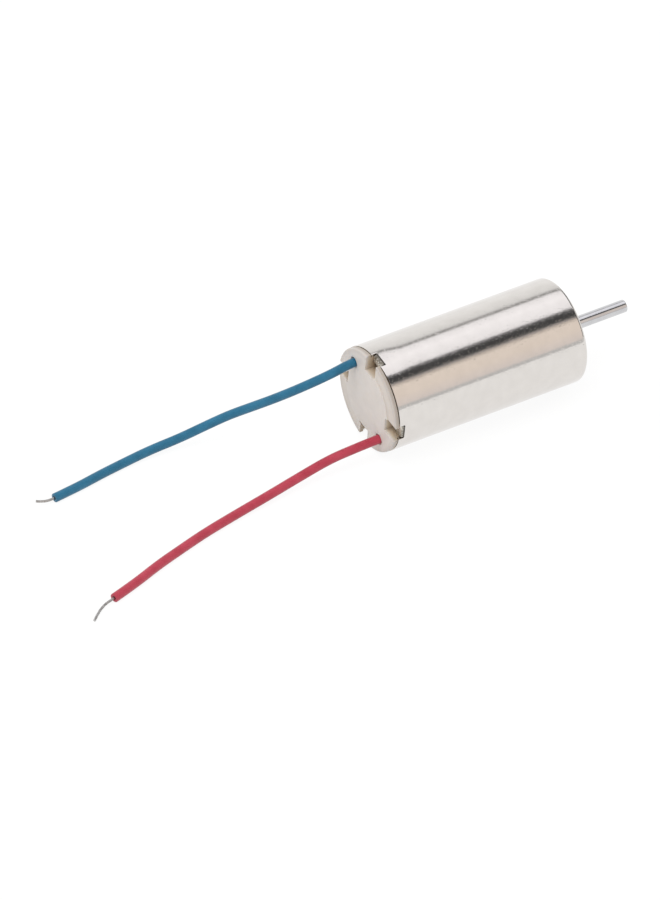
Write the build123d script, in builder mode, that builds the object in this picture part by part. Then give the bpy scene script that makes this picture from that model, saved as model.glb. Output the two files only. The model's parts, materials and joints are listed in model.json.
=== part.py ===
"""Coreless brushed DC motor, 10 mm size, lying on its side with two free leads.

Frame: the origin is the centre of the can's front face, on the shaft axis.
+X runs out along the output shaft, +Z is up, and the can rests at z = -5 mm.
All sizes are in millimetres.
"""
import os
from math import cos, pi, radians, sin, tan

from build123d import *

# Can
case_diameter = 10.0
case_length = 19.8
case_wall = 0.35
case_corner_radius = 0.4
crimp_width = 1.65
crimp_depth = 0.55
crimp_tab_width = 1.4
crimp_tab_reach = 0.55
crimp_bend_inset = 0.07
crimp_cut_overrun = 0.3

# Shaft
output_diameter = 1.2
output_length = 6.9
journal_diameter = 1.6
shaft_chamfer = 0.12

# Bearings, their sleeve and the magnet
running_clearance = 0.02
bush_wall = 0.4
front_bush_length = 1.8
rear_bush_length = 1.6
bush_recess = 0.12
sleeve_wall = 0.3
magnet_gap_front = 0.9
magnet_gap_rear = 0.25
coil_to_magnet_gap = 0.3

# Winding cup, hub and commutator
coil_wall = 0.55
coil_to_case_gap = 0.4
coil_gap_front = 1.0
coil_band_width = 0.8
coil_band_wall = 0.08
hub_thickness = 1.2
washer_thickness = 0.3
washer_wall = 0.35
running_play = 0.1
commutator_core_wall = 0.35
commutator_wall = 0.3
commutator_length = 2.7
riser_length = 0.25
riser_height = 0.45
segment_count = 3
segment_gap_angle = 12.0
tap_wire_diameter = 0.2
shaft_tail = 0.7
end_play = 0.2

# End cap; its notches sit at 45 degrees to the line through both leads
cap_lip = 0.6
cap_lip_inset = 0.05
cap_floor_depth = 1.2
cap_skirt_depth = 1.3
cap_skirt_wall = 0.5
cap_fit_clearance = 0.03
cap_disc_radius = 3.6
cap_side_step = 0.14
cap_edge_radius = 0.3
notch_width = 1.5
notch_depth_radial = 1.75
lead_line_angle = 53.0
lead_exit_radius = 3.65
lead_hole_diameter = 1.15

# Brush gear inside the cap
thrust_pad_radius = 1.0
thrust_pad_thickness = 0.3
terminal_thickness = 0.2
terminal_inner = 2.4
terminal_side = 0.6
terminal_margin = 0.35
brush_foot = 0.6
brush_thickness = 0.12
brush_width = 0.8
brush_gap = 0.03
brush_tip_reach = 1.7
brush_rear_offset = 1.5
holder_thickness = 1.1
holder_clearance = 0.02
holder_slot_clearance = 0.1
holder_bore_radius = 2.6
solder_radius = 0.42
solder_height = 0.25
solder_round = 0.2

# Leads
lead_diameter = 0.85
conductor_diameter = 0.3
conductor_hole_clearance = 0.03
conductor_stub = 0.1
insulation_setback = 0.1

# Lead routes, from inside the cap out to the stripped ends
blue_route = [
    (-18.7, 2.2, 2.9),
    (-20.7, 2.2, 2.9),
    (-22.7, 2.0, 2.7),
    (-24.5, 2.4, 2.1),
    (-26.1, 3.3, 1.1),
    (-27.6, 4.4, 0.0),
    (-29.1, 5.6, -1.1),
    (-30.8, 6.7, -2.1),
    (-32.8, 7.5, -3.1),
    (-35.2, 8.0, -3.9),
    (-38.0, 8.4, -4.4),
    (-40.8, 8.2, -4.575),
    (-43.5, 7.8, -4.575),
    (-46.1, 7.3, -4.575),
    (-48.6, 7.0, -4.575),
]
red_route = [
    (-18.7, -2.2, -2.9),
    (-20.7, -2.2, -2.9),
    (-23.0, -2.2, -3.0),
    (-25.4, -2.0, -3.35),
    (-28.6, -2.2, -3.9),
    (-32.1, -2.65, -4.3),
    (-35.7, -3.2, -4.55),
    (-39.3, -4.0, -4.575),
    (-42.3, -4.9, -4.575),
    (-45.2, -5.8, -4.575),
    (-48.0, -6.9, -4.575),
    (-50.7, -7.75, -4.575),
]
blue_tip_route = [
    (-48.6, 7.0, -4.575),
    (-49.15, 6.934, -4.575),
    (-49.75, 7.07, -4.55),
    (-50.27, 7.38, -4.52),
]
red_tip_route = [
    (-50.7, -7.75, -4.575),
    (-51.2, -7.907, -4.575),
    (-51.75, -8.02, -4.64),
    (-52.4, -8.35, -4.74),
    (-53.0, -8.8, -4.82),
    (-53.5, -9.25, -4.85),
]

# Radii that follow from the sizes above
case_radius = case_diameter / 2
case_bore_radius = case_radius - case_wall
output_radius = output_diameter / 2
journal_radius = journal_diameter / 2
bush_radius = journal_radius + running_clearance + bush_wall
sleeve_radius = bush_radius + sleeve_wall
coil_outer_radius = case_bore_radius - coil_to_case_gap
coil_inner_radius = coil_outer_radius - coil_wall
magnet_radius = coil_inner_radius - coil_to_magnet_gap
core_radius = journal_radius + commutator_core_wall
commutator_radius = core_radius + commutator_wall
riser_radius = commutator_radius + riser_height
cap_lip_radius = case_radius - cap_lip_inset
cap_plug_radius = case_bore_radius - cap_fit_clearance
cap_bore_radius = cap_plug_radius - cap_skirt_wall
lead_radius = lead_diameter / 2
conductor_radius = conductor_diameter / 2

# Stations on X, from the rear of the motor towards its front face
rim_x = -case_length
cap_back_x = rim_x - cap_lip
cap_floor_x = rim_x + cap_floor_depth
notch_floor_x = rim_x + crimp_depth
shaft_rear_x = cap_floor_x + thrust_pad_thickness + end_play
commutator_rear_x = shaft_rear_x + shaft_tail
hub_rear_x = commutator_rear_x + commutator_length
hub_front_x = hub_rear_x + hub_thickness
sleeve_rear_x = hub_front_x + washer_thickness + running_play
terminal_x = cap_floor_x + terminal_thickness
insulation_end_x = cap_floor_x - insulation_setback
brush_rear_x = cap_floor_x + brush_rear_offset
brush_side = commutator_radius + brush_gap

os.makedirs("parts", exist_ok=True)


def lead_plane(x, turn=0.0):
    """Plane across the motor at x, its first axis along the line through the lead holes."""
    angle = radians(lead_line_angle + turn)
    return Plane(origin=(x, 0, 0), x_dir=(0, cos(angle), sin(angle)), z_dir=(1, 0, 0))


def half_plane(turn):
    """Plane that holds the shaft axis, its second axis pointing out at an angle from +Y."""
    angle = radians(turn)
    return Plane(origin=(0, 0, 0), x_dir=(1, 0, 0), z_dir=(0, -sin(angle), cos(angle)))


def route_radii(points):
    """One arc radius for each corner of a route: as large as the two runs there allow."""
    corners = [Vector(*point) for point in points]
    radii = []
    for before, corner, after in zip(corners, corners[1:], corners[2:]):
        run_in = corner - before
        run_out = after - corner
        half_turn = radians(run_in.get_angle(run_out)) / 2
        radii.append(0.45 * min(run_in.length, run_out.length) / tan(half_turn))
    return radii


# ---------------------------------------------------------------- housing

# Drawn can: a cup with a hole in its front wall and four crimp windows in its rim
with BuildPart() as motor_can:
    with BuildSketch(Plane.YZ.offset(rim_x)):
        Circle(case_radius)
    extrude(amount=case_length)
    fillet(motor_can.edges().sort_by(Axis.X)[-1], radius=case_corner_radius)
    with BuildSketch(Plane.YZ.offset(rim_x)):
        Circle(case_bore_radius)
    extrude(amount=case_length - case_wall, mode=Mode.SUBTRACT)
    with BuildSketch(Plane.YZ.offset(-case_wall)):
        Circle(sleeve_radius)
    extrude(amount=case_wall, mode=Mode.SUBTRACT)
    for quarter in range(4):
        corner_angle = 45 + 90 * quarter
        with BuildSketch(lead_plane(rim_x, corner_angle)):
            with Locations((case_radius, 0)):
                Rectangle(2 * (case_wall + crimp_cut_overrun), crimp_width)
        extrude(amount=crimp_depth, mode=Mode.SUBTRACT)
        with BuildSketch(lead_plane(notch_floor_x - case_wall, corner_angle)):
            with Locations((case_bore_radius - crimp_tab_reach, 0)):
                Rectangle(
                    crimp_tab_reach + case_wall - crimp_bend_inset,
                    crimp_tab_width,
                    align=(Align.MIN, Align.CENTER),
                )
        extrude(amount=case_wall)
motor_can.part.label = "motor_can"
export_step(motor_can.part, "parts/motor_can.step")

# Brass sleeve pressed into the can's front wall; it carries the bushes and the magnet
with BuildPart() as bearing_sleeve:
    with BuildSketch(Plane.YZ.offset(sleeve_rear_x)):
        Circle(sleeve_radius)
        Circle(bush_radius, mode=Mode.SUBTRACT)
    extrude(amount=-sleeve_rear_x)
bearing_sleeve.part.label = "bearing_sleeve"
export_step(bearing_sleeve.part, "parts/bearing_sleeve.step")

# Sintered bushes in both ends of the sleeve
bushes = {
    "front_bearing": (-bush_recess - front_bush_length, front_bush_length),
    "rear_bearing": (sleeve_rear_x, rear_bush_length),
}
for bush_name, (bush_x, bush_length) in bushes.items():
    with BuildPart() as bush:
        with BuildSketch(Plane.YZ.offset(bush_x)):
            Circle(bush_radius)
            Circle(journal_radius + running_clearance, mode=Mode.SUBTRACT)
        extrude(amount=bush_length)
    bush.part.label = bush_name
    export_step(bush.part, f"parts/{bush_name}.step")

# Ring magnet fixed on the sleeve, inside the winding cup
with BuildPart() as magnet:
    with BuildSketch(Plane.YZ.offset(sleeve_rear_x + magnet_gap_rear)):
        Circle(magnet_radius)
        Circle(sleeve_radius, mode=Mode.SUBTRACT)
    extrude(amount=-sleeve_rear_x - magnet_gap_rear - case_wall - magnet_gap_front)
magnet.part.label = "magnet"
export_step(magnet.part, "parts/magnet.step")

# Moulded end cap: lip on the can's rim, plug in its bore, skirt round the brush gear
with BuildPart() as end_cap:
    with BuildSketch(Plane.YZ.offset(cap_back_x)):
        Circle(cap_lip_radius)
    extrude(amount=cap_lip)
    fillet(end_cap.edges().sort_by(Axis.X)[0], radius=cap_edge_radius)
    with BuildSketch(Plane.YZ.offset(rim_x)):
        Circle(cap_plug_radius)
    extrude(amount=cap_floor_depth)
    with BuildSketch(Plane.YZ.offset(cap_floor_x)):
        Circle(cap_plug_radius)
        Circle(cap_bore_radius, mode=Mode.SUBTRACT)
    extrude(amount=cap_skirt_depth)
    # beside the middle disc, the rim between the notches of each side lies a step lower
    for side in (-1, 1):
        with BuildSketch(lead_plane(cap_back_x)):
            Polygon(
                (0, 0),
                (case_diameter, side * case_diameter),
                (-case_diameter, side * case_diameter),
                align=None,
            )
            Circle(cap_disc_radius, mode=Mode.SUBTRACT)
        extrude(amount=cap_side_step, mode=Mode.SUBTRACT)
    for quarter in range(4):
        with BuildSketch(lead_plane(cap_back_x, 45 + 90 * quarter)):
            with Locations((case_radius - notch_depth_radial, 0)):
                Rectangle(
                    2 * notch_depth_radial, notch_width, align=(Align.MIN, Align.CENTER)
                )
        extrude(amount=notch_floor_x - cap_back_x, mode=Mode.SUBTRACT)
    with BuildSketch(lead_plane(cap_back_x)):
        with Locations((lead_exit_radius, 0), (-lead_exit_radius, 0)):
            Circle(lead_hole_diameter / 2)
    extrude(amount=cap_floor_x - cap_back_x, mode=Mode.SUBTRACT)
end_cap.part.label = "end_cap"
export_step(end_cap.part, "parts/end_cap.step")

# Steel pad on the cap's floor, which takes the shaft's end thrust
with BuildPart() as thrust_pad:
    with BuildSketch(Plane.YZ.offset(cap_floor_x)):
        Circle(thrust_pad_radius)
    extrude(amount=thrust_pad_thickness)
thrust_pad.part.label = "thrust_pad"
export_step(thrust_pad.part, "parts/thrust_pad.step")

# Ring that clamps the terminals to the cap's floor, slotted for them and for the brushes
slot_start = terminal_inner - holder_slot_clearance
slot_width = terminal_side + brush_side + brush_thickness + 2 * holder_slot_clearance
slot_depth = terminal_thickness + solder_height + conductor_stub + holder_slot_clearance
with BuildPart() as brush_holder:
    with BuildSketch(Plane.YZ.offset(cap_floor_x)):
        Circle(cap_bore_radius - holder_clearance)
        Circle(holder_bore_radius, mode=Mode.SUBTRACT)
    extrude(amount=holder_thickness)
    for turn in (0, 180):
        with BuildSketch(lead_plane(cap_floor_x, turn)):
            with Locations((slot_start, -terminal_side - holder_slot_clearance)):
                Rectangle(cap_bore_radius, slot_width, align=Align.MIN)
        extrude(amount=slot_depth, mode=Mode.SUBTRACT)
        with BuildSketch(lead_plane(cap_floor_x, turn)):
            with Locations((slot_start, brush_side - holder_slot_clearance)):
                Rectangle(
                    brush_foot + 2 * holder_slot_clearance,
                    brush_thickness + 2 * holder_slot_clearance,
                    align=Align.MIN,
                )
        extrude(amount=holder_thickness, mode=Mode.SUBTRACT)
brush_holder.part.label = "brush_holder"
export_step(brush_holder.part, "parts/brush_holder.step")

# The two lead sides are alike, half a turn from each other
lead_sides = {"blue": 0.0, "red": 180.0}

for side_name, turn in lead_sides.items():
    # flat terminal on the cap's floor, with a hole for the lead's conductor
    with BuildPart() as terminal:
        with BuildSketch(lead_plane(cap_floor_x, turn)):
            with Locations((terminal_inner, -terminal_side)):
                Rectangle(
                    lead_exit_radius + terminal_margin - terminal_inner,
                    2 * terminal_side,
                    align=Align.MIN,
                )
            with Locations((terminal_inner, terminal_side)):
                Rectangle(
                    brush_foot,
                    brush_side + brush_thickness - terminal_side,
                    align=Align.MIN,
                )
            with Locations((lead_exit_radius, 0)):
                Circle(conductor_radius + conductor_hole_clearance, mode=Mode.SUBTRACT)
        extrude(amount=terminal_thickness)
    terminal.part.label = f"terminal_{side_name}"
    export_step(terminal.part, f"parts/terminal_{side_name}.step")

    # spring finger that runs past the commutator, on a post that stands on the terminal
    with BuildPart() as brush:
        with BuildSketch(lead_plane(brush_rear_x, turn)):
            with Locations((-brush_tip_reach, brush_side)):
                Rectangle(
                    brush_tip_reach + terminal_inner + brush_foot,
                    brush_thickness,
                    align=Align.MIN,
                )
        extrude(amount=brush_width)
        with BuildSketch(lead_plane(terminal_x, turn)):
            with Locations((terminal_inner, brush_side)):
                Rectangle(brush_foot, brush_thickness, align=Align.MIN)
        extrude(amount=brush_rear_x - terminal_x)
    brush.part.label = f"brush_{side_name}"
    export_step(brush.part, f"parts/brush_{side_name}.step")

    # conductor end that passes from the insulation through the terminal
    with BuildPart() as conductor:
        with BuildSketch(lead_plane(insulation_end_x, turn)):
            with Locations((lead_exit_radius, 0)):
                Circle(conductor_radius)
        extrude(amount=terminal_x + solder_height + conductor_stub - insulation_end_x)
    conductor.part.label = f"conductor_{side_name}"
    export_step(conductor.part, f"parts/conductor_{side_name}.step")

    # domed solder joint round the conductor, on the terminal
    with BuildPart() as solder_joint:
        with BuildSketch(lead_plane(terminal_x, turn)):
            with Locations((lead_exit_radius, 0)):
                Circle(solder_radius)
        extrude(amount=solder_height)
        fillet(solder_joint.edges().sort_by(Axis.X)[-1], radius=solder_round)
        with BuildSketch(lead_plane(terminal_x, turn)):
            with Locations((lead_exit_radius, 0)):
                Circle(conductor_radius)
        extrude(amount=solder_height, mode=Mode.SUBTRACT)
    solder_joint.part.label = f"solder_joint_{side_name}"
    export_step(solder_joint.part, f"parts/solder_joint_{side_name}.step")

# ------------------------------------------------------------------ rotor

# Stepped shaft: the journal ends level with the can's front face
with BuildPart() as shaft:
    with BuildSketch(Plane.YZ.offset(shaft_rear_x)):
        Circle(journal_radius)
    extrude(amount=-shaft_rear_x)
    chamfer(shaft.edges().sort_by(Axis.X)[0], length=shaft_chamfer)
    with BuildSketch(Plane.YZ):
        Circle(output_radius)
    extrude(amount=output_length)
    chamfer(shaft.edges().sort_by(Axis.X)[-1], length=shaft_chamfer)
shaft.part.label = "shaft"
export_step(shaft.part, "parts/shaft.step")

# Washer between the hub and the rear bush
with BuildPart() as thrust_washer:
    with BuildSketch(Plane.YZ.offset(hub_front_x)):
        Circle(journal_radius + washer_wall)
        Circle(journal_radius, mode=Mode.SUBTRACT)
    extrude(amount=washer_thickness)
thrust_washer.part.label = "thrust_washer"
export_step(thrust_washer.part, "parts/thrust_washer.step")

# Moulded hub that joins the winding cup to the shaft
with BuildPart() as coil_hub:
    with BuildSketch(Plane.YZ.offset(hub_rear_x)):
        Circle(coil_inner_radius)
        Circle(journal_radius, mode=Mode.SUBTRACT)
    extrude(amount=hub_thickness)
coil_hub.part.label = "coil_hub"
export_step(coil_hub.part, "parts/coil_hub.step")

# Self-supporting winding cup in the gap between the magnet and the can
with BuildPart() as coil:
    with BuildSketch(Plane.YZ.offset(hub_rear_x)):
        Circle(coil_outer_radius)
        Circle(coil_inner_radius, mode=Mode.SUBTRACT)
    extrude(amount=-hub_rear_x - case_wall - coil_gap_front)
coil.part.label = "coil"
export_step(coil.part, "parts/coil.step")

# Binding band round the winding's hub end
with BuildPart() as coil_band:
    with BuildSketch(Plane.YZ.offset(hub_rear_x)):
        Circle(coil_outer_radius + coil_band_wall)
        Circle(coil_outer_radius, mode=Mode.SUBTRACT)
    extrude(amount=coil_band_width)
coil_band.part.label = "coil_band"
export_step(coil_band.part, "parts/coil_band.step")

# Insulating core under the commutator segments
with BuildPart() as commutator_core:
    with BuildSketch(Plane.YZ.offset(commutator_rear_x)):
        Circle(core_radius)
        Circle(journal_radius, mode=Mode.SUBTRACT)
    extrude(amount=commutator_length)
commutator_core.part.label = "commutator_core"
export_step(commutator_core.part, "parts/commutator_core.step")

# Commutator segments, each with a riser that takes one tap wire of the winding
segment_pitch = 360 / segment_count
segment_angle = segment_pitch - segment_gap_angle
for index in range(segment_count):
    start_angle = index * segment_pitch
    with BuildPart() as segment:
        with BuildSketch(half_plane(start_angle)):
            with Locations((commutator_rear_x, core_radius)):
                Rectangle(commutator_length, commutator_wall, align=Align.MIN)
            with Locations((hub_rear_x - riser_length, core_radius)):
                Rectangle(riser_length, riser_radius - core_radius, align=Align.MIN)
        revolve(axis=Axis.X, revolution_arc=segment_angle)
    segment.part.label = f"commutator_segment_{index + 1}"
    export_step(segment.part, f"parts/commutator_segment_{index + 1}.step")

    tap_angle = start_angle + segment_angle / 2
    tap_length = coil_outer_radius - tap_wire_diameter - riser_radius
    tap_direction = Vector(0, cos(radians(tap_angle)), sin(radians(tap_angle)))
    tap_start = Vector(hub_rear_x - tap_wire_diameter / 2, 0, 0) + tap_direction * riser_radius
    with BuildPart() as tap_wire:
        with BuildSketch(Plane(origin=tap_start, z_dir=tap_direction)):
            Circle(tap_wire_diameter / 2)
        extrude(amount=tap_length)
    tap_wire.part.label = f"tap_wire_{index + 1}"
    export_step(tap_wire.part, f"parts/tap_wire_{index + 1}.step")

# ------------------------------------------------------------------ leads

lead_runs = {
    "blue_lead": (blue_route, lead_radius),
    "red_lead": (red_route, lead_radius),
    "blue_lead_tip": (blue_tip_route, conductor_radius),
    "red_lead_tip": (red_tip_route, conductor_radius),
}
for lead_name, (route, tube_radius) in lead_runs.items():
    corner_radii = route_radii(route)
    print(lead_name, "corner radii", [round(radius, 1) for radius in corner_radii])
    with BuildPart() as lead:
        with BuildLine() as lead_path:
            FilletPolyline(*route, radius=corner_radii)
        run_start = lead_path.wire() @ 0
        run_direction = lead_path.wire() % 0
        with BuildSketch(Plane(origin=run_start, z_dir=run_direction)):
            Circle(tube_radius)
        sweep(path=lead_path.wire())
    lead.part.label = lead_name
    export_step(lead.part, f"parts/{lead_name}.step")
    tube_length = lead.part.volume / (pi * tube_radius**2)
    print(lead_name, "length", round(lead_path.wire().length, 2), "by volume", round(tube_length, 2))
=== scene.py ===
"""Looks of a small coreless electric motor lying on its side with two free leads.

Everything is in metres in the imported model's frame: the origin is the centre of the
can's front face, +X runs out along the shaft, +Z is up and the floor is at z = -5 mm.
"""

import json
from math import asin, atan2, cos, exp, pi, radians, sin

import bmesh
import bpy
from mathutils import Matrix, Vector


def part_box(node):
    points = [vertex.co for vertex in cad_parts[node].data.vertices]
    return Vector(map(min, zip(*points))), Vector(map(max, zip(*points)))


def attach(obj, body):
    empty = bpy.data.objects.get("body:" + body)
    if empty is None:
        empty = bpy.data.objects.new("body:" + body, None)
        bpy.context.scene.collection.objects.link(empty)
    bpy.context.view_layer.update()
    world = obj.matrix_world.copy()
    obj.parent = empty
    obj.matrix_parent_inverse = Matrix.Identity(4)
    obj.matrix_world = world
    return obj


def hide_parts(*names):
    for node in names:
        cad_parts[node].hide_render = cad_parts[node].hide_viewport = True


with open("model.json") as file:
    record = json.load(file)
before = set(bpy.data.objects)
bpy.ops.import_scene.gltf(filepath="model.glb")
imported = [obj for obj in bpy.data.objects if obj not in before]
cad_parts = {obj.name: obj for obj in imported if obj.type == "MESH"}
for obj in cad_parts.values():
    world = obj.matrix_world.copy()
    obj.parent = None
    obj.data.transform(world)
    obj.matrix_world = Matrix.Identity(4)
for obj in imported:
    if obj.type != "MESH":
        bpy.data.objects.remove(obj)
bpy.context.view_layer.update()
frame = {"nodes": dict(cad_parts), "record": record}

mm = 0.001

# ------------------------------------------------------------------ sizes
# Sizes that no box gives are the CAD part's, apart from a few that are this model's own,
# after the photograph: the bent lugs, the cap's sharper back edge and its fine gap to the
# can's rim, the smaller lead holes, the thinner conductors and the small roundings.
can_low, can_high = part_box("motor_can")
cap_low, cap_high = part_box("end_cap")
shaft_low, shaft_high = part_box("shaft")
sleeve_low, sleeve_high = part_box("bearing_sleeve")

can_radius = can_high.z
rim_x = can_low.x
can_wall = 0.35 * mm
can_corner = 0.4 * mm
can_rounding = 0.05 * mm
sleeve_radius = sleeve_high.z
bush_radius = 1.22 * mm
window_width = 1.65 * mm
window_depth = 0.55 * mm
tab_width = 1.4 * mm
tab_end_radius = 4.1 * mm
tab_bend = 0.38 * mm
floor_z = can_low.z

cap_back_x = cap_low.x
cap_front_x = cap_high.x
cap_lip_radius = 4.95 * mm
cap_plug_radius = 4.62 * mm
cap_bore_radius = 4.12 * mm
cap_floor_x = rim_x + 1.2 * mm
cap_edge_radius = 0.18 * mm
cap_rounding = 0.06 * mm
rim_gap = 0.085 * mm
disc_radius = 3.6 * mm
side_step = 0.14 * mm
notch_width = 1.5 * mm
notch_inner_radius = 3.25 * mm
notch_floor_x = rim_x + window_depth
lead_line = radians(53.0)
lead_exit_radius = 3.65 * mm
lead_hole_radius = 0.53 * mm
notch_angles = [lead_line + radians(45 + 90 * quarter) for quarter in range(4)]

lead_radius = 0.425 * mm
conductor_radius = 0.125 * mm

output_radius = 0.6 * mm
journal_radius = 0.8 * mm
shaft_rounding = 0.1 * mm
sleeve_rounding = 0.04 * mm

# ------------------------------------------------------------------ camera
camera_azimuth = radians(-30.3165)
camera_elevation = radians(39.268)
camera_distance = 0.7
camera_aim = Vector((-22.732, 2.459, -6.499)) * mm

camera_back = Vector((
    sin(camera_azimuth) * cos(camera_elevation),
    -cos(camera_azimuth) * cos(camera_elevation),
    sin(camera_elevation),
))
camera_data = bpy.data.cameras.new("camera")
camera_data.lens = 309.8
camera_data.sensor_width = 36.0
camera_data.clip_start = 0.01
camera = bpy.data.objects.new("camera", camera_data)
camera.location = camera_aim + camera_back * camera_distance
camera.rotation_euler = camera_back.to_track_quat("Z", "Y").to_euler()
bpy.context.scene.collection.objects.link(camera)
bpy.context.scene.camera = camera
bpy.context.scene.view_settings.view_transform = "Standard"


# ------------------------------------------------------------------ mesh helpers
sharp_angle = radians(38)


def smooth(mesh):
    """Smooth faces, with the edges sharper than the limit left as corners."""
    for polygon in mesh.polygons:
        polygon.use_smooth = True
    mesh.set_sharp_from_angle(angle=sharp_angle)


def from_bmesh(name, shape):
    """Scene object with smooth faces for a finished bmesh."""
    bmesh.ops.recalc_face_normals(shape, faces=shape.faces)
    mesh = bpy.data.meshes.new(name)
    shape.to_mesh(mesh)
    shape.free()
    smooth(mesh)
    piece = bpy.data.objects.new(name, mesh)
    bpy.context.scene.collection.objects.link(piece)
    return piece


def apply_modifiers(piece):
    """Replace the piece's mesh with its modified mesh and drop the modifiers."""
    depsgraph = bpy.context.evaluated_depsgraph_get()
    finished = bpy.data.meshes.new_from_object(piece.evaluated_get(depsgraph))
    piece.modifiers.clear()
    piece.data = finished
    smooth(finished)
    return piece


def bevel(piece, width, segments=3, angle=30.0):
    """Rounding of the edges sharper than the angle, still to be applied."""
    rounding = piece.modifiers.new("rounded_edges", "BEVEL")
    rounding.width = width
    rounding.segments = segments
    rounding.limit_method = "ANGLE"
    rounding.angle_limit = radians(angle)


def rounded(points, radius, steps=5):
    """Profile with the corners between its two ends rounded."""
    result = [Vector(points[0])]
    for before, corner, after in zip(points, points[1:], points[2:]):
        corner = Vector(corner)
        into = Vector(before) - corner
        out = Vector(after) - corner
        reach = min(radius, 0.45 * into.length, 0.45 * out.length)
        start = corner + into.normalized() * reach
        end = corner + out.normalized() * reach
        for step in range(steps + 1):
            t = step / steps
            result.append(start * (1 - t) ** 2 + corner * 2 * t * (1 - t) + end * t ** 2)
    result.append(Vector(points[-1]))
    return result


def lathe(name, profile, columns, closed=False):
    """Body turned about X from (x, radius) points; a zero radius is a point on the axis."""
    shape = bmesh.new()
    rings = []
    for x, radius in profile:
        if radius < 1e-9:
            rings.append([shape.verts.new((x, 0, 0))])
            continue
        ring = []
        for column in range(columns):
            angle = 2 * pi * column / columns
            ring.append(shape.verts.new((x, radius * cos(angle), radius * sin(angle))))
        rings.append(ring)
    pairs = list(zip(rings, rings[1:]))
    if closed:
        pairs.append((rings[-1], rings[0]))
    for near, far in pairs:
        for column in range(columns):
            following = (column + 1) % columns
            if len(near) == 1:
                corners = (near[0], far[column], far[following])
            elif len(far) == 1:
                corners = (near[column], far[0], near[following])
            else:
                corners = (near[column], far[column], far[following], near[following])
            shape.faces.new(corners)
    return from_bmesh(name, shape)


def around(x, radius, angle):
    """Point at this radius and angle about the motor's axis."""
    return Vector((x, radius * cos(angle), radius * sin(angle)))


def on_lead_line(x, along, across):
    """Point at x, given along and across the line through the two lead holes."""
    return Vector((
        x,
        along * cos(lead_line) - across * sin(lead_line),
        along * sin(lead_line) + across * cos(lead_line),
    ))


def prism(outline, x_from, x_to):
    """Closed prism along X over an outline of (along, across) points on the lead line."""
    shape = bmesh.new()
    near = [shape.verts.new(on_lead_line(x_from, *point)) for point in outline]
    far = [shape.verts.new(on_lead_line(x_to, *point)) for point in outline]
    shape.faces.new(near)
    shape.faces.new(far)
    count = len(outline)
    for index in range(count):
        following = (index + 1) % count
        shape.faces.new((near[index], near[following], far[following], far[index]))
    return from_bmesh("cutter", shape)


def subtract(piece, cutter):
    """Cut the cutter's shape out of the piece and delete the cutter."""
    cut = piece.modifiers.new("cut", "BOOLEAN")
    cut.operation = "DIFFERENCE"
    cut.solver = "EXACT"
    cut.object = cutter
    apply_modifiers(piece)
    bpy.data.objects.remove(cutter)


def spline_path(route, resolution=10):
    """Points along a NURBS spline whose control points are the route, given in mm."""
    curve = bpy.data.curves.new("route", "CURVE")
    curve.dimensions = "3D"
    curve.resolution_u = resolution
    spline = curve.splines.new("NURBS")
    spline.points.add(len(route) - 1)
    for control, point in zip(spline.points, route):
        control.co = (*(Vector(point) * mm), 1.0)
    spline.order_u = 3
    spline.use_endpoint_u = True
    holder = bpy.data.objects.new("route", curve)
    bpy.context.scene.collection.objects.link(holder)
    line = bpy.data.meshes.new_from_object(holder)
    path = [vertex.co.copy() for vertex in line.vertices]
    bpy.data.objects.remove(holder)
    return path


def frames_along(path):
    """A normal and a second normal at each path point, carried along without twist."""
    tangents = []
    for index in range(len(path)):
        ahead = path[min(index + 1, len(path) - 1)]
        behind = path[max(index - 1, 0)]
        tangents.append((ahead - behind).normalized())
    normal = tangents[0].orthogonal().normalized()
    result = []
    for index, tangent in enumerate(tangents):
        if index:
            normal = tangents[index - 1].rotation_difference(tangent) @ normal
            normal = (normal - tangent * normal.dot(tangent)).normalized()
        result.append((normal.copy(), tangent.cross(normal)))
    return result


def add_tube(shape, rings, sides):
    """Closed tube through rings of (centre, normal, second normal, radius)."""
    loops = []
    for centre, normal, second, radius in rings:
        loop = []
        for side in range(sides):
            angle = 2 * pi * side / sides
            offset = normal * cos(angle) + second * sin(angle)
            loop.append(shape.verts.new(centre + offset * radius))
        loops.append(loop)
    for near, far in zip(loops, loops[1:]):
        for side in range(sides):
            following = (side + 1) % sides
            shape.faces.new((near[side], near[following], far[following], far[side]))
    for loop, ring in ((loops[0], rings[0]), (loops[-1], rings[-1])):
        centre = shape.verts.new(ring[0])
        for side in range(sides):
            shape.faces.new((loop[side], loop[(side + 1) % sides], centre))


# ------------------------------------------------------------------ leads
blue_route = [
    (-18.7, 2.2, 2.9),
    (-20.7, 2.2, 2.9),
    (-22.7, 2.0, 2.7),
    (-24.5, 2.4, 2.1),
    (-26.1, 3.3, 1.1),
    (-27.6, 4.4, 0.0),
    (-29.1, 5.6, -1.1),
    (-30.8, 6.7, -2.1),
    (-32.8, 7.5, -3.1),
    (-35.2, 8.0, -3.9),
    (-38.0, 8.4, -4.4),
    (-40.8, 8.2, -4.575),
    (-43.5, 7.8, -4.575),
    (-46.1, 7.3, -4.575),
    (-48.6, 7.0, -4.575),
]
red_route = [
    (-18.7, -2.2, -2.9),
    (-20.7, -2.2, -2.9),
    (-23.0, -2.2, -3.0),
    (-25.4, -2.0, -3.35),
    (-28.6, -2.2, -3.9),
    (-32.1, -2.65, -4.3),
    (-35.7, -3.2, -4.55),
    (-39.3, -4.0, -4.575),
    (-42.3, -4.9, -4.575),
    (-45.2, -5.8, -4.575),
    (-48.0, -6.9, -4.575),
    (-50.7, -7.75, -4.575),
]
blue_tip_route = [
    (-48.6, 7.0, -4.575),
    (-49.15, 6.934, -4.575),
    (-49.75, 7.07, -4.55),
    (-50.27, 7.38, -4.52),
]
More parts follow.
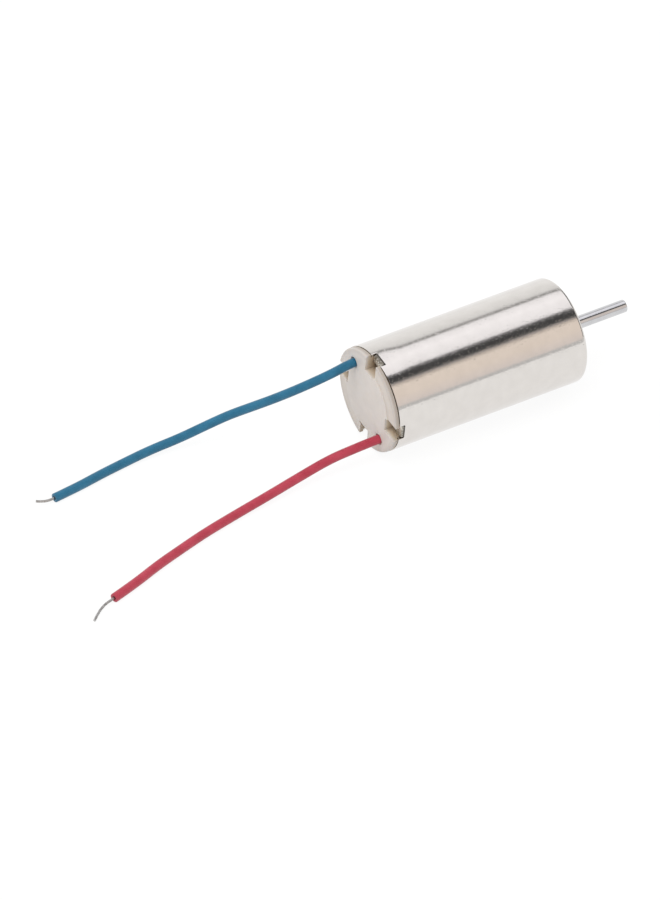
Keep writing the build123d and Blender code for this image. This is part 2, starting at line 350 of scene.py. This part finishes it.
red_tip_route = [
    (-50.7, -7.75, -4.575),
    (-51.2, -7.907, -4.575),
    (-51.75, -8.02, -4.64),
    (-52.4, -8.35, -4.74),
    (-53.0, -8.8, -4.82),
    (-53.5, -9.25, -4.85),
]

lead_sides = 48
insulation_bore = 0.17 * mm
bore_depth = 0.45 * mm
cut_rounding = 0.04 * mm
outer_strands = 6
strand_sides = 12
strand_radius = 0.048 * mm
strand_pitch = 2.6 * mm


def make_lead(name, route):
    """Insulation as a tube along the route, hollow at its cut end."""
    path = spline_path(route)
    sides = frames_along(path)
    rings = []
    for centre, (normal, second) in zip(path, sides):
        rings.append((centre, normal, second, lead_radius))
    # the cut end is rounded outside and inside, with the bore behind it
    rings.pop()
    end = path[-1]
    normal, second = sides[-1]
    backward = (path[-2] - end).normalized()
    middle = 0.3 * cut_rounding
    for setback, radius in (
        (cut_rounding, lead_radius),
        (middle, lead_radius - middle),
        (0.0, lead_radius - cut_rounding),
        (0.0, insulation_bore + cut_rounding),
        (cut_rounding, insulation_bore),
        (bore_depth, insulation_bore),
    ):
        rings.append((end + backward * setback, normal, second, radius))
    shape = bmesh.new()
    add_tube(shape, rings, lead_sides)
    return from_bmesh(name, shape), path


def make_tip(name, route):
    """Stripped conductor: six strands twisted round a seventh, from inside the insulation."""
    path = spline_path(route, resolution=16)
    backward = (path[0] - path[1]).normalized()
    hidden = [path[0] + backward * setback * mm for setback in (0.4, 0.3, 0.2, 0.1)]
    path = hidden + path
    sides = frames_along(path)
    shape = bmesh.new()
    for strand in range(outer_strands + 1):
        spread = conductor_radius - strand_radius
        if strand == outer_strands:
            spread = 0.0
        travelled = 0.0
        centres = []
        for index, (centre, (normal, second)) in enumerate(zip(path, sides)):
            if index:
                travelled += (centre - path[index - 1]).length
            turn = 2 * pi * (strand / outer_strands + travelled / strand_pitch)
            centres.append(centre + (normal * cos(turn) + second * sin(turn)) * spread)
        rings = []
        for centre, (normal, second) in zip(centres, frames_along(centres)):
            rings.append((centre, normal, second, strand_radius))
        add_tube(shape, rings, strand_sides)
    return from_bmesh(name, shape)


blue_lead, blue_path = make_lead("blue_lead_insulation", blue_route)
red_lead, red_path = make_lead("red_lead_insulation", red_route)
blue_tip = make_tip("blue_lead_strands", blue_tip_route)
red_tip = make_tip("red_lead_strands", red_tip_route)
for piece, node in (
    (blue_lead, "blue_lead"),
    (red_lead, "red_lead"),
    (blue_tip, "blue_lead_tip"),
    (red_tip, "red_lead_tip"),
):
    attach(piece, "stator")
    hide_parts(node)

# ------------------------------------------------------------------ can
dent_depth = 0.12 * mm
dent_width = 1.2 * mm
dent_length = 2.2 * mm
window_half = asin(window_width / 2 / can_radius)
tab_half = asin(tab_width / 2 / can_radius)

# how finely the can is meshed
face_rings = (2.2, 3.0, 3.8, 4.3)
corner_rows = 10
plain_row_spacing = 0.8 * mm
dent_rows = 22
window_rows = 8
even_columns = 240
bend_rows = 6
lug_rows = 3


def angle_from(angle, centre):
    """Signed difference of two angles, between -pi and pi."""
    return (angle - centre + pi) % (2 * pi) - pi


def angle_from_window(angle):
    """Angle to the middle of the nearest window."""
    return min(abs(angle_from(angle, notch_angle)) for notch_angle in notch_angles)


def dented_radius(x, angle):
    """Can radius where the crimps pull its rear end in a little."""
    reach = (rim_x + window_depth + dent_length - x) / dent_length
    reach = min(max(reach, 0.0), 1.0)
    reach = reach * reach * (3 - 2 * reach)
    dent = 0.0
    for notch_angle in notch_angles:
        aside = angle_from(angle, notch_angle) * can_radius
        dent += exp(-((aside / dent_width) ** 2))
    return can_radius - dent_depth * dent * reach


def can_columns():
    """Angles of the can's mesh columns, with one on each edge of a window and a tab."""
    exact = []
    for notch_angle in notch_angles:
        for half in (window_half, tab_half):
            exact.extend((notch_angle - half, notch_angle + half))
    spacing = 2 * pi / even_columns
    even = []
    for column in range(even_columns):
        angle = column * spacing
        if min(abs(angle_from(angle, edge)) for edge in exact) > spacing / 3:
            even.append(angle)
    return sorted(angle % (2 * pi) for angle in exact + even)


def can_stations():
    """(x, radius) stations of the can's outer sheet, from the front hole to the rim."""
    stations = [(0.0, sleeve_radius)]
    for radius in face_rings:
        stations.append((0.0, radius * mm))
    for row in range(corner_rows + 1):
        turn = pi / 2 * row / corner_rows
        stations.append((
            -can_corner + can_corner * cos(turn),
            can_radius - can_corner + can_corner * sin(turn),
        ))
    x = -can_corner
    while x > notch_floor_x + dent_length:
        x -= plain_row_spacing
        stations.append((x, can_radius))
    dent_start = x
    for row in range(1, dent_rows + 1):
        x = dent_start + (notch_floor_x - dent_start) * row / dent_rows
        stations.append((x, can_radius))
    for row in range(1, window_rows + 1):
        stations.append((notch_floor_x - window_depth * row / window_rows, can_radius))
    return stations


def make_can():
    """Can as a sheet with windows, dents and bent lugs, thickened inwards."""
    shape = bmesh.new()
    columns = can_columns()
    stations = can_stations()
    rows = []
    for x, radius in stations:
        row = []
        for angle in columns:
            here = radius
            if radius == can_radius:
                here = dented_radius(x, angle)
            row.append(shape.verts.new(around(x, here, angle)))
        rows.append(row)
    floor_row = len(stations) - 1 - window_rows
    for row in range(len(rows) - 1):
        for column in range(len(columns)):
            following = (column + 1) % len(columns)
            step = angle_from(columns[following], columns[column])
            middle = columns[column] + step / 2
            if row >= floor_row and angle_from_window(middle) < window_half:
                continue
            shape.faces.new((
                rows[row][column],
                rows[row + 1][column],
                rows[row + 1][following],
                rows[row][following],
            ))
    for notch_angle in notch_angles:
        add_tab(shape, rows[floor_row], columns, notch_angle)
    loose = [vertex for vertex in shape.verts if not vertex.link_faces]
    bmesh.ops.delete(shape, geom=loose, context="VERTS")
    can = from_bmesh("can_shell", shape)
    thickness = can.modifiers.new("wall", "SOLIDIFY")
    thickness.thickness = can_wall
    thickness.offset = -1.0
    thickness.use_even_offset = True
    bevel(can, can_rounding, segments=2, angle=50)
    return apply_modifiers(can)


def on_a_tab(point):
    """True on the bent lugs, whose plate broke off."""
    floor_margin = 0.01 * mm
    side_margin = 0.06 * mm
    if point.x > notch_floor_x - floor_margin:
        return False
    aside = angle_from_window(atan2(point.z, point.y)) * can_radius
    return aside < tab_width / 2 + side_margin


def add_tab(shape, floor_row, columns, notch_angle):
    """Lug bent in from the floor of a window, over the floor of the cap's notch."""
    tolerance = 1e-6
    inside = []
    for column, angle in enumerate(columns):
        aside = angle_from(angle, notch_angle)
        if abs(aside) <= tab_half + tolerance:
            inside.append((aside, floor_row[column]))
    inside.sort(key=lambda entry: entry[0])
    outward = around(0, 1, notch_angle)
    previous = [vertex for aside, vertex in inside]
    start = [vertex.co.copy() for vertex in previous]
    steps = []
    for row in range(1, bend_rows + 1):
        turn = pi / 2 * row / bend_rows
        steps.append((tab_bend * sin(turn), tab_bend * (1 - cos(turn))))
    drop = can_radius - dent_depth - tab_end_radius
    for row in range(1, lug_rows + 1):
        steps.append((tab_bend, tab_bend + (drop - tab_bend) * row / lug_rows))
    for back, inward in steps:
        current = []
        for base in start:
            place = base + Vector((-back, 0, 0)) - outward * inward
            current.append(shape.verts.new(place))
        for index in range(len(current) - 1):
            shape.faces.new((
                previous[index],
                current[index],
                current[index + 1],
                previous[index + 1],
            ))
        previous = current


can = make_can()
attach(can, "stator")
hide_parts("motor_can")


# ------------------------------------------------------------------ end cap
def rectangle(along_from, along_to, across_from, across_to):
    return [
        (along_from, across_from),
        (along_to, across_from),
        (along_to, across_to),
        (along_from, across_to),
    ]


def turned(outline, angle):
    """The same outline turned about the axis."""
    return [
        (along * cos(angle) - across * sin(angle), along * sin(angle) + across * cos(angle))
        for along, across in outline
    ]


def circle(centre, radius, steps=64):
    return [
        (centre + radius * cos(2 * pi * step / steps), radius * sin(2 * pi * step / steps))
        for step in range(steps)
    ]


def arc(radius, start, stop, steps):
    points = []
    for step in range(steps + 1):
        angle = start + (stop - start) * step / steps
        points.append((radius * cos(angle), radius * sin(angle)))
    return points


def make_cap():
    """Cap: lip with a round back edge, plug, skirt, raised disc, notches and lead holes."""
    edge_steps = 8
    profile = [(cap_back_x, 0.0)]
    for step in range(edge_steps + 1):
        turn = pi / 2 * step / edge_steps
        profile.append((
            cap_back_x + cap_edge_radius * (1 - cos(turn)),
            cap_lip_radius - cap_edge_radius * (1 - sin(turn)),
        ))
    profile += [
        (rim_x - rim_gap, cap_lip_radius),
        (rim_x - rim_gap, cap_plug_radius),
        (cap_front_x, cap_plug_radius),
        (cap_front_x, cap_bore_radius),
        (cap_floor_x, cap_bore_radius),
        (cap_floor_x, 0.0),
    ]
    cap = lathe("cap_moulding", profile, columns=192)
    outside = 6 * mm
    clear = 1 * mm
    for side in (0, pi):
        middle = side + pi / 2
        outline = arc(disc_radius, middle - pi / 4, middle + pi / 4, steps=48)
        outline += arc(outside, middle + pi / 4, middle - pi / 4, steps=12)
        subtract(cap, prism(outline, cap_back_x - clear, cap_back_x + side_step))
    for quarter in range(4):
        outline = rectangle(notch_inner_radius, outside, -notch_width / 2, notch_width / 2)
        outline = turned(outline, radians(45 + 90 * quarter))
        subtract(cap, prism(outline, cap_back_x - clear, notch_floor_x))
    for side in (-1, 1):
        outline = circle(side * lead_exit_radius, lead_hole_radius)
        subtract(cap, prism(outline, cap_back_x - clear, cap_floor_x + clear))
    bevel(cap, cap_rounding, angle=40)
    return apply_modifiers(cap)


cap = make_cap()
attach(cap, "stator")
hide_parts("end_cap")

# ------------------------------------------------------------------ shaft and bearings
turned_columns = 128
shaft_profile = [
    (shaft_low.x, 0.0),
    (shaft_low.x, journal_radius),
    (0.0, journal_radius),
    (0.0, output_radius),
    (shaft_high.x, output_radius),
    (shaft_high.x, 0.0),
]
shaft = lathe("shaft_steel", rounded(shaft_profile, shaft_rounding), turned_columns)
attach(shaft, "rotor")
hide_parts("shaft")

sleeve_profile = [
    (sleeve_low.x, bush_radius),
    (sleeve_high.x, bush_radius),
    (sleeve_high.x, sleeve_radius),
    (sleeve_low.x, sleeve_radius),
]
sleeve = lathe("sleeve_brass", sleeve_profile, turned_columns, closed=True)
bevel(sleeve, sleeve_rounding)
apply_modifiers(sleeve)
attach(sleeve, "stator")
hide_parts("bearing_sleeve")


# ------------------------------------------------------------------ materials
class Finish:
    """Builder of one procedural material on a Principled shader."""

    def __init__(self, name, colour, roughness, metallic=0.0):
        self.material = bpy.data.materials.new(name)
        self.material.use_nodes = True
        self.tree = self.material.node_tree
        self.shader = self.tree.nodes["Principled BSDF"]
        self.shader.inputs["Base Color"].default_value = (*colour, 1)
        self.shader.inputs["Roughness"].default_value = roughness
        self.shader.inputs["Metallic"].default_value = metallic
        self.place = self.node("ShaderNodeTexCoord").outputs["Object"]

    def node(self, kind, **settings):
        made = self.tree.nodes.new(kind)
        for key, value in settings.items():
            setattr(made, key, value)
        return made

    def join(self, output, socket):
        self.tree.links.new(output, socket)

    def stretched(self, scale):
        """Object coordinates scaled by axis, to draw a texture out along one of them."""
        mapping = self.node("ShaderNodeMapping")
        mapping.inputs["Scale"].default_value = scale
        self.join(self.place, mapping.inputs["Vector"])
        return mapping.outputs["Vector"]

    def noise(self, grain, detail=3.0, place=None):
        """Noise whose grains are about this size in metres."""
        texture = self.node("ShaderNodeTexNoise")
        texture.inputs["Scale"].default_value = 1 / grain
        texture.inputs["Detail"].default_value = detail
        self.join(place or self.place, texture.inputs["Vector"])
        return texture.outputs["Fac"]

    def ramp(self, value, stops):
        """Colours or greys over a value between 0 and 1."""
        ramp = self.node("ShaderNodeValToRGB")
        self.join(value, ramp.inputs["Fac"])
        elements = ramp.color_ramp.elements
        while len(elements) < len(stops):
            elements.new(0.5)
        for element, (position, colour) in zip(elements, stops):
            element.position = position
            if not isinstance(colour, tuple):
                colour = (colour, colour, colour)
            element.color = (*colour, 1)
        return ramp.outputs["Color"]

    def blend(self, factor, first, second, mode="MIX"):
        mix = self.node("ShaderNodeMix", data_type="RGBA", blend_type=mode)
        if isinstance(factor, float):
            mix.inputs["Factor"].default_value = factor
        else:
            self.join(factor, mix.inputs["Factor"])
        # sockets 6 and 7 are the two colours, output 2 their mix
        for socket, value in ((mix.inputs[6], first), (mix.inputs[7], second)):
            if isinstance(value, tuple):
                socket.default_value = (*value, 1)
            else:
                self.join(value, socket)
        return mix.outputs[2]

    def span(self, value, start, stop, low=0.0, high=1.0):
        """The value's place between start and stop, brought to low and high."""
        spread = self.node("ShaderNodeMapRange")
        spread.inputs["From Min"].default_value = start
        spread.inputs["From Max"].default_value = stop
        spread.inputs["To Min"].default_value = low
        spread.inputs["To Max"].default_value = high
        self.join(value, spread.inputs["Value"])
        return spread.outputs["Result"]

    def along_x(self):
        split = self.node("ShaderNodeSeparateXYZ")
        self.join(self.place, split.inputs["Vector"])
        return split.outputs["X"]

    def from_axis(self):
        """Distance from the motor's axis."""
        across = self.node("ShaderNodeVectorMath", operation="LENGTH")
        self.join(self.stretched((0, 1, 1)), across.inputs[0])
        return across.outputs["Value"]

    def colour(self, output):
        self.join(output, self.shader.inputs["Base Color"])

    def roughness(self, value, low, high):
        """Roughness between low and high over the middle of a noise's values."""
        self.join(self.span(value, 0.3, 0.7, low, high), self.shader.inputs["Roughness"])

    def bump(self, height, distance, strength=1.0):
        """Relief of this depth in metres; further calls lie on top of it."""
        relief = self.node("ShaderNodeBump")
        relief.inputs["Strength"].default_value = strength
        relief.inputs["Distance"].default_value = distance
        self.join(height, relief.inputs["Height"])
        normal = self.shader.inputs["Normal"]
        if normal.is_linked:
            self.join(normal.links[0].from_socket, relief.inputs["Normal"])
        self.join(relief.outputs["Normal"], normal)


def srgb(red, green, blue):
    """Linear colour from everyday 0-255 values."""
    def linear(value):
        value /= 255
        if value <= 0.04045:
            return value / 12.92
        return ((value + 0.055) / 1.055) ** 2.4
    return (linear(red), linear(green), linear(blue))


def plated_finish():
    """Bright nickel plate on drawn steel: faint mottling, orange peel, grit and pits."""
    finish = Finish("nickel_plate", (0.72, 0.69, 0.66), 0.05, 1.0)
    finish.colour(finish.ramp(finish.noise(1.2 * mm, 4), [
        (0.3, (0.70, 0.67, 0.64)),
        (0.7, (0.735, 0.705, 0.675)),
    ]))
    finish.roughness(finish.noise(0.6 * mm, 3), 0.035, 0.065)
    finish.bump(finish.noise(0.4 * mm, 2), 0.0008 * mm)
    finish.bump(finish.noise(0.1 * mm, 3), 0.0022 * mm)
    grit = finish.ramp(finish.noise(0.13 * mm, 1), [(0.58, 0.0), (0.7, 1.0)])
    finish.bump(grit, 0.0023 * mm)
    for spacing, depth in ((0.6 * mm, 0.006 * mm), (0.36 * mm, 0.0025 * mm)):
        pits = finish.node("ShaderNodeTexVoronoi")
        pits.inputs["Scale"].default_value = 1 / spacing
        finish.join(finish.place, pits.inputs["Vector"])
        dots = finish.ramp(pits.outputs["Distance"], [(0.05, 0.0), (0.15, 1.0)])
        finish.bump(dots, depth)
    return finish.material


def torn_finish():
    """Bent crimp lugs: dull bare steel with bright specks, and painted shade that darkens the
    bend.
    """
    finish = Finish("torn_steel", (0.3, 0.27, 0.23), 0.45, 1.0)
    patches = finish.noise(0.35 * mm, 3)
    dull = finish.ramp(patches, [(0.3, (0.3, 0.27, 0.22)), (0.65, (0.6, 0.55, 0.47))])
    specks = finish.noise(0.13 * mm, 1)
    torn = finish.ramp(specks, [(0.57, 0.0), (0.63, 1.0)])
    metal = finish.blend(torn, dull, (0.95, 0.93, 0.88))
    # painted shade: the colour darkens towards the window's floor, where the lug bends in
    bend = finish.span(finish.along_x(), notch_floor_x - tab_bend, notch_floor_x)
    painted_bend_shade = finish.ramp(bend, [(0.1, 1.0), (0.5, 0.6), (0.85, 0.12)])
    finish.colour(finish.blend(1.0, metal, painted_bend_shade, "MULTIPLY"))
    finish.roughness(patches, 0.4, 0.52)
    finish.bump(patches, 0.006 * mm)
    finish.bump(specks, 0.002 * mm)
    return finish.material


def steel_finish():
    """Ground steel: noise drawn out across the axis into very fine rings."""
    finish = Finish("ground_steel", (0.6, 0.6, 0.61), 0.16, 1.0)
    rings = finish.noise(0.05 * mm, 2, finish.stretched((1, 0.05, 0.05)))
    finish.roughness(rings, 0.12, 0.2)
    finish.bump(rings, 0.0004 * mm)
    tone = finish.noise(0.8 * mm, 3)
    finish.colour(finish.ramp(tone, [(0.3, (0.57, 0.57, 0.585)), (0.7, (0.63, 0.63, 0.64))]))
    return finish.material


def cap_finish():
    """Translucent nylon: pale grey, with painted shade that makes it creamier below the disc
    and brown down in the notches.

    The colour goes by depth below the disc, as painted shade. The outer side of the lip has a
    ramp of its own, with painted shade darker towards the can's rim, and painted shade darkens
    the lip a little towards its edge.
    """
    finish = Finish("cap_nylon", srgb(214, 208, 202), 0.45)
    finish.shader.inputs["Subsurface Weight"].default_value = 0.2
    finish.shader.inputs["Subsurface Radius"].default_value = (1.0, 0.8, 0.55)
    finish.shader.inputs["Subsurface Scale"].default_value = 0.4 * mm
    depth = finish.span(finish.along_x(), cap_back_x, notch_floor_x)
    # painted shade: the outer side of the lip darkens deeper down, towards the gap at the can's
    # rim
    lip_side_painted_shade = finish.ramp(depth, [
        (0.03, srgb(220, 214, 211)),
        (0.09, srgb(214, 207, 202)),
        (0.30, srgb(190, 179, 168)),
    ])
    # painted shade: creamier and darker deeper below the disc, brown at the notches' floors
    painted_depth_shade = finish.ramp(depth, [
        (0.03, srgb(215, 208, 202)),
        (0.13, srgb(211, 203, 195)),
        (0.3, srgb(204, 188, 167)),
        (0.7, srgb(178, 158, 134)),
        (1.0, srgb(118, 102, 84)),
    ])
    radius = finish.from_axis()
    inside = finish.span(radius, cap_lip_radius - 0.02 * mm, cap_lip_radius - 0.08 * mm)
    # painted shade: the lip darkens a little towards its outer edge
    near_edge = finish.span(radius, cap_lip_radius - 0.5 * mm, cap_lip_radius - 0.1 * mm)
    painted_edge_shade = finish.ramp(near_edge, [(0.0, 1.0), (1.0, 0.86)])
    cloud = finish.ramp(finish.noise(1.1 * mm, 4), [(0.3, 0.95), (0.7, 1.0)])
    base = finish.blend(inside, lip_side_painted_shade, painted_depth_shade)
    toned = finish.blend(1.0, base, painted_edge_shade, "MULTIPLY")
    finish.colour(finish.blend(1.0, toned, cloud, "MULTIPLY"))
    finish.bump(finish.noise(0.12 * mm, 2), 0.002 * mm)
    finish.roughness(finish.noise(0.5 * mm, 2), 0.4, 0.55)
    return finish.material


def insulation_finish(name, deep, light):
    """Soft silicone insulation: dusty tone changes, a fine skin and a slight sheen."""
    finish = Finish(name, deep, 0.55)
    finish.shader.inputs["Sheen Weight"].default_value = 0.55
    finish.shader.inputs["Sheen Roughness"].default_value = 0.35
    tone = finish.noise(1.4 * mm, 4)
    finish.colour(finish.ramp(tone, [(0.35, deep), (0.7, light)]))
    finish.roughness(finish.noise(0.3 * mm, 3), 0.48, 0.62)
    finish.bump(finish.noise(0.16 * mm, 3), 0.004 * mm)
    return finish.material


def metal_finish(name, dark, light, roughness, grain, relief):
    """Plain metal with tone changes and a fine relief."""
    finish = Finish(name, light, roughness, 1.0)
    finish.colour(finish.ramp(finish.noise(grain * 6, 4), [(0.3, dark), (0.7, light)]))
    finish.roughness(finish.noise(grain * 2, 3), roughness - 0.06, roughness + 0.08)
    finish.bump(finish.noise(grain, 3), relief)
    return finish.material


def resin_finish(name, dark, light, roughness, grain, relief):
    """Moulded resin with tone changes and a fine relief."""
    finish = Finish(name, light, roughness)
    finish.colour(finish.ramp(finish.noise(grain * 6, 4), [(0.3, dark), (0.7, light)]))
    finish.roughness(finish.noise(grain * 2, 3), roughness - 0.08, roughness + 0.08)
    finish.bump(finish.noise(grain, 3), relief)
    return finish.material


finishes = {
    "plated_can": plated_finish(),
    "torn_lug": torn_finish(),
    "shaft_steel": steel_finish(),
    "cap_plastic": cap_finish(),
    "blue_insulation": insulation_finish(
        "blue_silicone", srgb(20, 97, 129), srgb(36, 111, 145)),
    "red_insulation": insulation_finish(
        "red_silicone", srgb(170, 46, 66), srgb(184, 60, 80)),
    "tinned_copper": metal_finish(
        "tinned_strands", (0.36, 0.35, 0.34), (0.6, 0.59, 0.58), 0.3, 0.05 * mm, 0.002 * mm),
    "brass": metal_finish(
        "brass", (0.74, 0.55, 0.25), (0.86, 0.68, 0.36), 0.25, 0.06 * mm, 0.001 * mm),
    "sintered_bronze": metal_finish(
        "sintered_bronze", (0.35, 0.22, 0.13), (0.55, 0.38, 0.24), 0.45, 0.04 * mm, 0.006 * mm),
    "magnet": metal_finish(
        "magnet_plate", (0.42, 0.42, 0.43), (0.56, 0.56, 0.57), 0.35, 0.1 * mm, 0.002 * mm),
    "spring_alloy": metal_finish(
        "spring_alloy", (0.7, 0.5, 0.33), (0.82, 0.64, 0.45), 0.25, 0.05 * mm, 0.001 * mm),
    "winding": metal_finish(
        "enamelled_winding", (0.45, 0.16, 0.06), (0.72, 0.32, 0.14), 0.3, 0.08 * mm, 0.01 * mm),
    "band": resin_finish(
        "binding_band", srgb(190, 150, 70), srgb(214, 178, 96), 0.4, 0.08 * mm, 0.003 * mm),
    "hub_resin": resin_finish(
        "hub_resin", srgb(30, 30, 32), srgb(48, 47, 46), 0.5, 0.08 * mm, 0.003 * mm),
}

for piece, slot_name in (
    (blue_lead, "blue_insulation"),
    (red_lead, "red_insulation"),
    (blue_tip, "tinned_copper"),
    (red_tip, "tinned_copper"),
    (can, "plated_can"),
    (cap, "cap_plastic"),
    (shaft, "shaft_steel"),
    (sleeve, "brass"),
):
    piece.data.materials.clear()
    piece.data.materials.append(finishes[slot_name])
can.data.materials.append(finishes["torn_lug"])
for polygon in can.data.polygons:
    if on_a_tab(polygon.center):
        polygon.material_index = 1

# the hidden CAD nodes that are carried over as they are
for part in frame["record"]["subparts"]:
    node = frame["nodes"][part["node"]]
    for slot in node.material_slots:
        slot.material = finishes[part["material_slot"]]

# ------------------------------------------------------------------ floor, light and world
floor_reach = 3.0
floor_corners = [
    (-floor_reach, -floor_reach, floor_z),
    (floor_reach, -floor_reach, floor_z),
    (floor_reach, floor_reach, floor_z),
    (-floor_reach, floor_reach, floor_z),
]
floor_mesh = bpy.data.meshes.new("floor")
floor_mesh.from_pydata(floor_corners, [], [(0, 1, 2, 3)])
floor = bpy.data.objects.new("floor", floor_mesh)
bpy.context.scene.collection.objects.link(floor)


def seen_directly(tree):
    """Socket that is 1 for camera, glossy and transmission rays."""
    rays = tree.nodes.new("ShaderNodeLightPath")
    first = tree.nodes.new("ShaderNodeMath")
    first.operation = "MAXIMUM"
    tree.links.new(rays.outputs["Is Camera Ray"], first.inputs[0])
    tree.links.new(rays.outputs["Is Glossy Ray"], first.inputs[1])
    second = tree.nodes.new("ShaderNodeMath")
    second.operation = "MAXIMUM"
    tree.links.new(first.outputs[0], second.inputs[0])
    tree.links.new(rays.outputs["Is Transmission Ray"], second.inputs[1])
    return second.outputs[0]


def floor_finish():
    """Plain paper that lights the object, seen as almost white with a faint shadow."""
    material = bpy.data.materials.new("floor_paper")
    material.use_nodes = True
    tree = material.node_tree
    tree.nodes.clear()
    output = tree.nodes.new("ShaderNodeOutputMaterial")
    paper = tree.nodes.new("ShaderNodeBsdfDiffuse")
    paper.inputs["Color"].default_value = (0.85, 0.85, 0.85, 1)
    glow = tree.nodes.new("ShaderNodeEmission")
    glow.inputs["Strength"].default_value = 0.9
    lift = tree.nodes.new("ShaderNodeAddShader")
    faint_paper = tree.nodes.new("ShaderNodeBsdfDiffuse")
    faint_paper.inputs["Color"].default_value = (0.12, 0.12, 0.12, 1)
    tree.links.new(glow.outputs[0], lift.inputs[0])
    tree.links.new(faint_paper.outputs[0], lift.inputs[1])
    choose = tree.nodes.new("ShaderNodeMixShader")
    tree.links.new(seen_directly(tree), choose.inputs[0])
    tree.links.new(paper.outputs[0], choose.inputs[1])
    tree.links.new(lift.outputs[0], choose.inputs[2])
    tree.links.new(choose.outputs[0], output.inputs["Surface"])
    return material


floor_mesh.materials.append(floor_finish())

# the studio seen in the metal: brightness and tint by angle round the X axis, +Y over +Z
neutral = (1.0, 1.0, 1.0)
cool = (0.98, 0.97, 1.0)
beige = (1.0, 0.89, 0.80)
pale_beige = (1.0, 0.91, 0.87)
studio_bands = [
    (-180, 0.80, neutral),
    (-176, 0.98, neutral),
    (-20, 1.04, neutral),
    (10, 1.04, neutral),
    (28, 0.98, neutral),
    (41.5, 0.91, neutral),
    (46, 0.58, neutral),
    (49, 0.32, neutral),
    (51.5, 0.52, neutral),
    (55.5, 1.14, cool),
    (72, 1.26, cool),
    (97, 1.13, cool),
    (100.8, 1.04, cool),
    (103.6, 0.30, cool),
    (108, 0.11, cool),
    (113, 0.07, cool),
    (118, 0.075, neutral),
    (121.5, 0.14, neutral),
    (125, 0.46, pale_beige),
    (128.5, 0.74, beige),
    (133, 0.96, beige),
    (150, 0.95, beige),
    (171, 0.86, pale_beige),
    (174.5, 0.64, neutral),
    (177, 0.62, neutral),
    (180, 0.72, neutral),
]


# share of a direction that lies along the axis: where the bands end and the gap is passed
bands_end = (0.7, 0.76)
gap_end = (0.86, 0.97)
gap_tone = (0.12, 0.12, 0.12)
end_tone = (0.62, 0.61, 0.6)


def make_world():
    """Soft light on the object, banded studio in its metal and white for the camera."""
    world = bpy.data.worlds.new("studio")
    bpy.context.scene.world = world
    world.use_nodes = True
    world.cycles.sampling_method = "NONE"
    tree = world.node_tree
    tree.nodes.clear()

    def node(kind, **settings):
        made = tree.nodes.new(kind)
        for key, value in settings.items():
            setattr(made, key, value)
        return made

    output = node("ShaderNodeOutputWorld")
    direction = node("ShaderNodeTexCoord").outputs["Generated"]
    split = node("ShaderNodeSeparateXYZ")
    tree.links.new(direction, split.inputs[0])
    turn = node("ShaderNodeMath", operation="ARCTAN2")
    tree.links.new(split.outputs["Z"], turn.inputs[0])
    tree.links.new(split.outputs["Y"], turn.inputs[1])
    share = node("ShaderNodeMapRange")
    share.inputs["From Min"].default_value = -pi
    share.inputs["From Max"].default_value = pi
    tree.links.new(turn.outputs[0], share.inputs["Value"])
    ramp = node("ShaderNodeValToRGB")
    tree.links.new(share.outputs[0], ramp.inputs["Fac"])
    elements = ramp.color_ramp.elements
    while len(elements) < len(studio_bands):
        elements.new(0.5)
    brightest = 1.3
    for element, (angle, brightness, tint) in zip(elements, studio_bands):
        element.position = (angle + 180) / 360
        element.color = (*(brightness / brightest * channel for channel in tint), 1)
    # towards both ends of the axis the bands give way to a dark gap, then to plain light
    ends = node("ShaderNodeMath", operation="ABSOLUTE")
    tree.links.new(split.outputs["X"], ends.inputs[0])
    fade = node("ShaderNodeMapRange", interpolation_type="SMOOTHSTEP")
    fade.inputs["From Min"].default_value = bands_end[0]
    fade.inputs["From Max"].default_value = bands_end[1]
    tree.links.new(ends.outputs[0], fade.inputs["Value"])
    bands = node("ShaderNodeMix", data_type="RGBA")
    tree.links.new(fade.outputs[0], bands.inputs["Factor"])
    tree.links.new(ramp.outputs["Color"], bands.inputs[6])
    beyond = node("ShaderNodeValToRGB")
    tree.links.new(ends.outputs[0], beyond.inputs["Fac"])
    for element, position, tone in zip(
        beyond.color_ramp.elements, gap_end, (gap_tone, end_tone)
    ):
        element.position = position
        element.color = (*tone, 1)
    tree.links.new(beyond.outputs["Color"], bands.inputs[7])
    mirror = node("ShaderNodeBackground")
    mirror.inputs["Strength"].default_value = brightest
    tree.links.new(bands.outputs[2], mirror.inputs["Color"])

    soft = node("ShaderNodeBackground")
    soft.inputs["Color"].default_value = (1, 0.995, 0.985, 1)
    soft.inputs["Strength"].default_value = 0.84
    white = node("ShaderNodeBackground")
    white.inputs["Strength"].default_value = 1.0
    white.inputs["Color"].default_value = (1, 1, 1, 1)
    rays = node("ShaderNodeLightPath")
    glossy = node("ShaderNodeMixShader")
    tree.links.new(rays.outputs["Is Glossy Ray"], glossy.inputs[0])
    tree.links.new(soft.outputs[0], glossy.inputs[1])
    tree.links.new(mirror.outputs[0], glossy.inputs[2])
    seen = node("ShaderNodeMixShader")
    tree.links.new(rays.outputs["Is Camera Ray"], seen.inputs[0])
    tree.links.new(glossy.outputs[0], seen.inputs[1])
    tree.links.new(white.outputs[0], seen.inputs[2])
    tree.links.new(seen.outputs[0], output.inputs["Surface"])


make_world()

key_data = bpy.data.lights.new("key_softbox", "AREA")
key_data.shape = "DISK"
key_data.size = 0.35
key_data.energy = 0.8
key = bpy.data.objects.new("key_softbox", key_data)
key.location = (-0.18, -0.06, 0.42)
key.rotation_euler = key.location.to_track_quat("Z", "Y").to_euler()
key.visible_glossy = False
bpy.context.scene.collection.objects.link(key)
